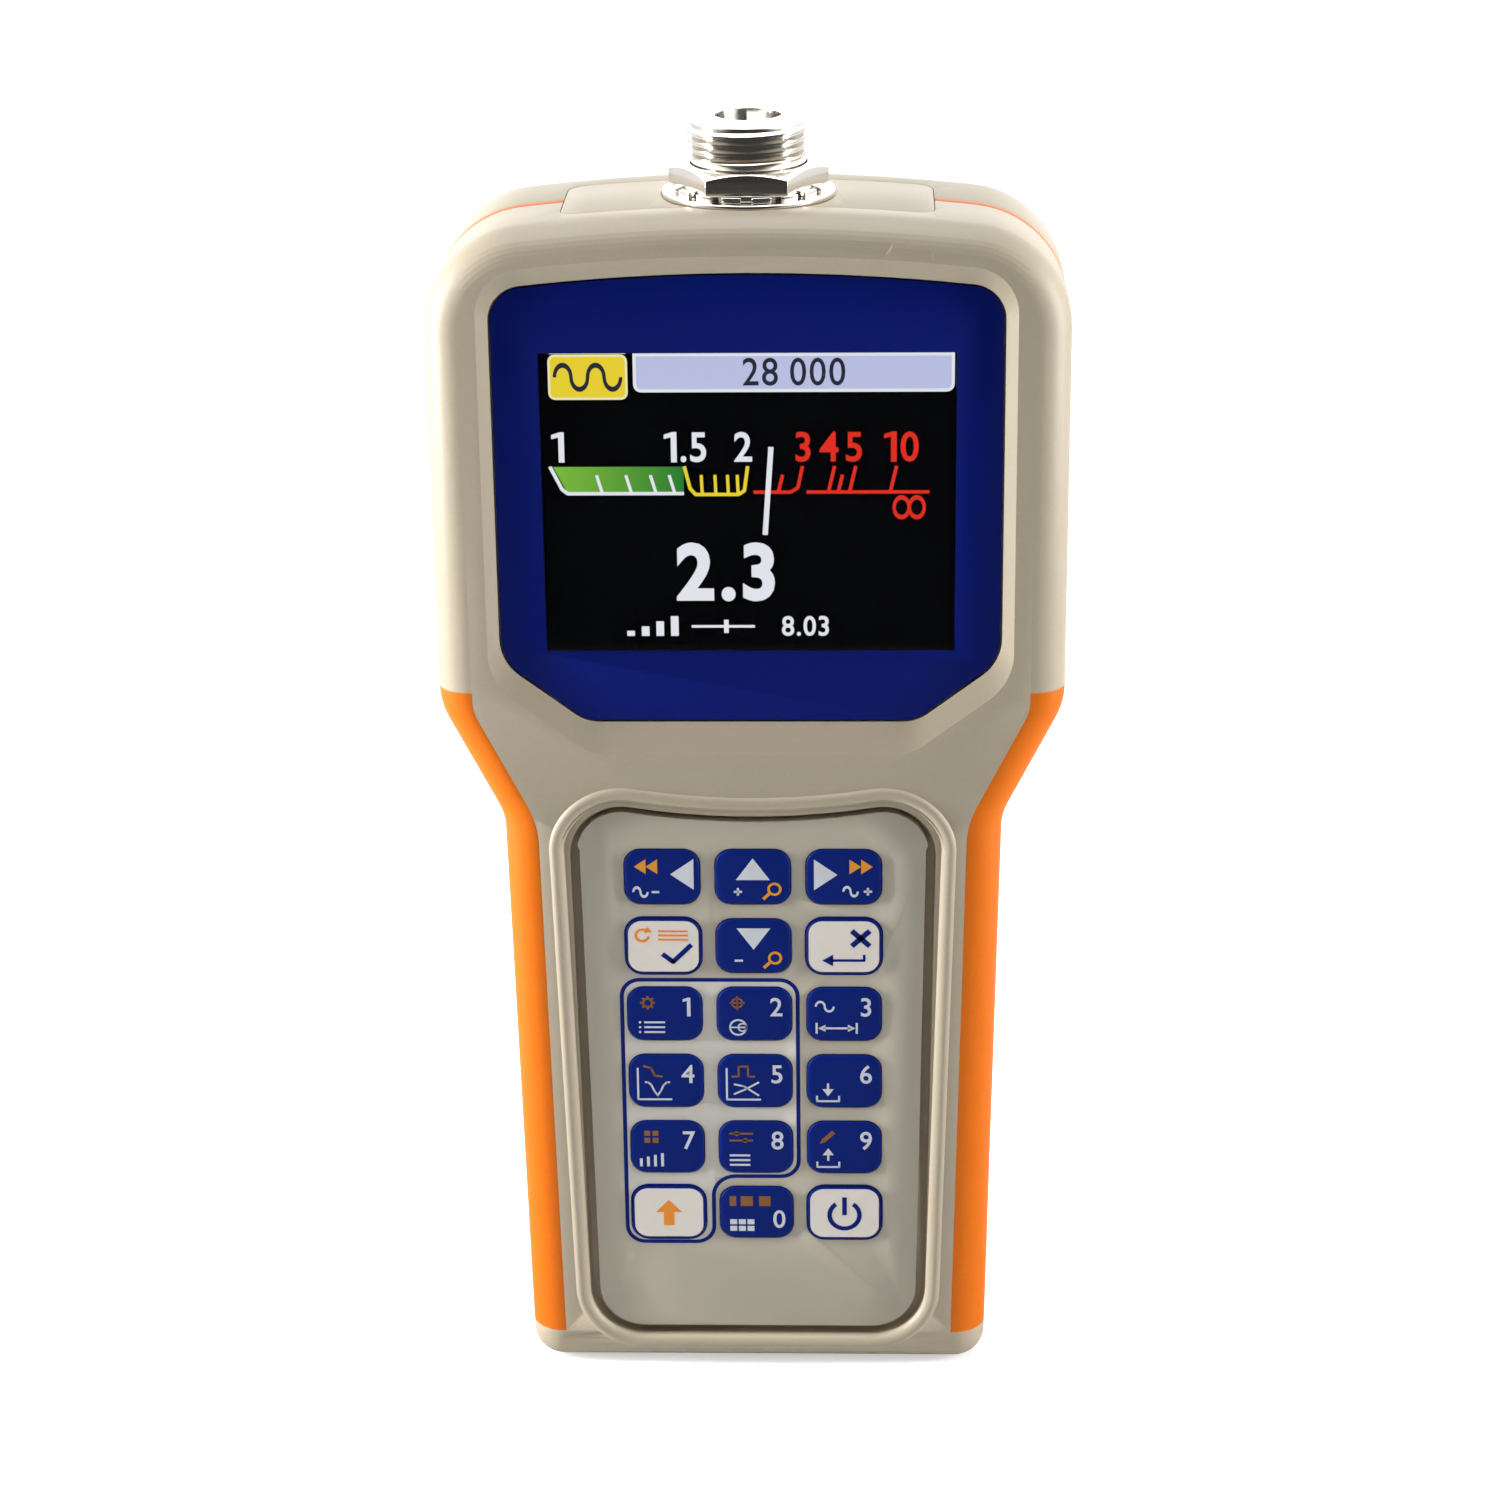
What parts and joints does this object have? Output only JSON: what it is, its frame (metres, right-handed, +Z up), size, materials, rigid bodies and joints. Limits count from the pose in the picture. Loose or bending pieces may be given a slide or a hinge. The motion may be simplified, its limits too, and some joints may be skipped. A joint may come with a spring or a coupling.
{
  "type": "antenna analyzer",
  "caption": "Handheld antenna analyzer: wide head with colour display, tapered handle with keypad and rubber grips, threaded antenna jack on top, battery bay behind.",
  "frame": {"origin": "middle of the foot that the instrument stands on: half way across its width and its depth, on the table", "axes": "+Z up from the foot to the antenna jack, the display and keypad face -Y, +X to the right as the user looks at the display"},
  "size_m": [0.082, 0.032, 0.1723],
  "materials": {
    "casing": "fine spark-eroded moulding texture",
    "grip_rubber": "soft overmoulded rubber, finely grained",
    "panel_blue": "printed polycarbonate",
    "window_clear": "clear window",
    "screen_black": "liquid crystal display face",
    "black_foam": "closed-cell foam",
    "black_plastic": "moulded",
    "amber_film": "polyimide film",
    "overlay_grey": "printed polyester, satin",
    "key_blue": "printed polyester, satin",
    "key_white": "printed polyester, satin",
    "steel": "tinned steel",
    "nickel": "bright nickel plate",
    "gold": "gold-plated brass",
    "white_insulator": "plain insulator",
    "copper_wire": "tinned copper",
    "board_green": "solder mask",
    "cell_jacket": "plain shrink jacket"
  },
  "bodies": {
    "casing": {"back_shell": "casing", "battery_contacts": "nickel", "battery_springs": "nickel", "battery_tray": "black_plastic", "beeper": "black_plastic", "board_screws": "steel", "cable_sockets": "white_insulator", "case_screws": "steel", "display_flex": "amber_film", "display_gasket": "black_foam", "display_holder": "black_plastic", "display_module": "screen_black", "display_panel": "panel_blue", "display_window": "window_clear", "front_shell": "casing", "jack_body": "nickel", "jack_contact": "gold", "jack_insulator": "white_insulator", "jack_lead": "copper_wire", "jack_lock_washer": "nickel", "jack_nut": "nickel", "jack_washer": "nickel", "key_domes": "steel", "keypad_film": "amber_film", "keypad_overlay": "overlay_grey", "left_cell": "cell_jacket", "left_grip": "grip_rubber", "main_board": "board_green", "processor": "black_plastic", "rf_shield": "steel", "right_cell": "cell_jacket", "right_grip": "grip_rubber", "top_plate": "casing", "usb_socket": "steel"},
    "key_0": {"key_0": "key_blue"},
    "key_1": {"key_1": "key_blue"},
    "key_2": {"key_2": "key_blue"},
    "key_3": {"key_3": "key_blue"},
    "key_4": {"key_4": "key_blue"},
    "key_5": {"key_5": "key_blue"},
    "key_6": {"key_6": "key_blue"},
    "key_7": {"key_7": "key_blue"},
    "key_8": {"key_8": "key_blue"},
    "key_9": {"key_9": "key_blue"},
    "key_accept": {"key_accept": "key_white"},
    "key_back": {"key_back": "key_blue"},
    "key_down": {"key_down": "key_blue"},
    "key_forward": {"key_forward": "key_blue"},
    "key_function": {"key_function": "key_white"},
    "key_power": {"key_power": "key_white"},
    "key_reject": {"key_reject": "key_white"},
    "key_up": {"key_up": "key_blue"},
    "battery_cover": {"battery_cover": "casing"}
  },
  "joints": [
    {"name": "key_0_press", "type": "slide", "parent": "casing", "child": "key_0", "axis": [0, 1, 0], "range_m": [0, 0.00035], "stiffness_N_per_m": 1500},
    {"name": "key_1_press", "type": "slide", "parent": "casing", "child": "key_1", "axis": [0, 1, 0], "range_m": [0, 0.00035], "stiffness_N_per_m": 1500},
    {"name": "key_2_press", "type": "slide", "parent": "casing", "child": "key_2", "axis": [0, 1, 0], "range_m": [0, 0.00035], "stiffness_N_per_m": 1500},
    {"name": "key_3_press", "type": "slide", "parent": "casing", "child": "key_3", "axis": [0, 1, 0], "range_m": [0, 0.00035], "stiffness_N_per_m": 1500},
    {"name": "key_4_press", "type": "slide", "parent": "casing", "child": "key_4", "axis": [0, 1, 0], "range_m": [0, 0.00035], "stiffness_N_per_m": 1500},
    {"name": "key_5_press", "type": "slide", "parent": "casing", "child": "key_5", "axis": [0, 1, 0], "range_m": [0, 0.00035], "stiffness_N_per_m": 1500},
    {"name": "key_6_press", "type": "slide", "parent": "casing", "child": "key_6", "axis": [0, 1, 0], "range_m": [0, 0.00035], "stiffness_N_per_m": 1500},
    {"name": "key_7_press", "type": "slide", "parent": "casing", "child": "key_7", "axis": [0, 1, 0], "range_m": [0, 0.00035], "stiffness_N_per_m": 1500},
    {"name": "key_8_press", "type": "slide", "parent": "casing", "child": "key_8", "axis": [0, 1, 0], "range_m": [0, 0.00035], "stiffness_N_per_m": 1500},
    {"name": "key_9_press", "type": "slide", "parent": "casing", "child": "key_9", "axis": [0, 1, 0], "range_m": [0, 0.00035], "stiffness_N_per_m": 1500},
    {"name": "key_accept_press", "type": "slide", "parent": "casing", "child": "key_accept", "axis": [0, 1, 0], "range_m": [0, 0.00035], "stiffness_N_per_m": 1500},
    {"name": "key_back_press", "type": "slide", "parent": "casing", "child": "key_back", "axis": [0, 1, 0], "range_m": [0, 0.00035], "stiffness_N_per_m": 1500},
    {"name": "key_down_press", "type": "slide", "parent": "casing", "child": "key_down", "axis": [0, 1, 0], "range_m": [0, 0.00035], "stiffness_N_per_m": 1500},
    {"name": "key_forward_press", "type": "slide", "parent": "casing", "child": "key_forward", "axis": [0, 1, 0], "range_m": [0, 0.00035], "stiffness_N_per_m": 1500},
    {"name": "key_function_press", "type": "slide", "parent": "casing", "child": "key_function", "axis": [0, 1, 0], "range_m": [0, 0.00035], "stiffness_N_per_m": 1500},
    {"name": "key_power_press", "type": "slide", "parent": "casing", "child": "key_power", "axis": [0, 1, 0], "range_m": [0, 0.00035], "stiffness_N_per_m": 1500},
    {"name": "key_reject_press", "type": "slide", "parent": "casing", "child": "key_reject", "axis": [0, 1, 0], "range_m": [0, 0.00035], "stiffness_N_per_m": 1500},
    {"name": "key_up_press", "type": "slide", "parent": "casing", "child": "key_up", "axis": [0, 1, 0], "range_m": [0, 0.00035], "stiffness_N_per_m": 1500},
    {"name": "battery_cover_slide", "type": "slide", "parent": "casing", "child": "battery_cover", "axis": [0, 0, -1], "range_m": [0, 0.076]}
  ]
}
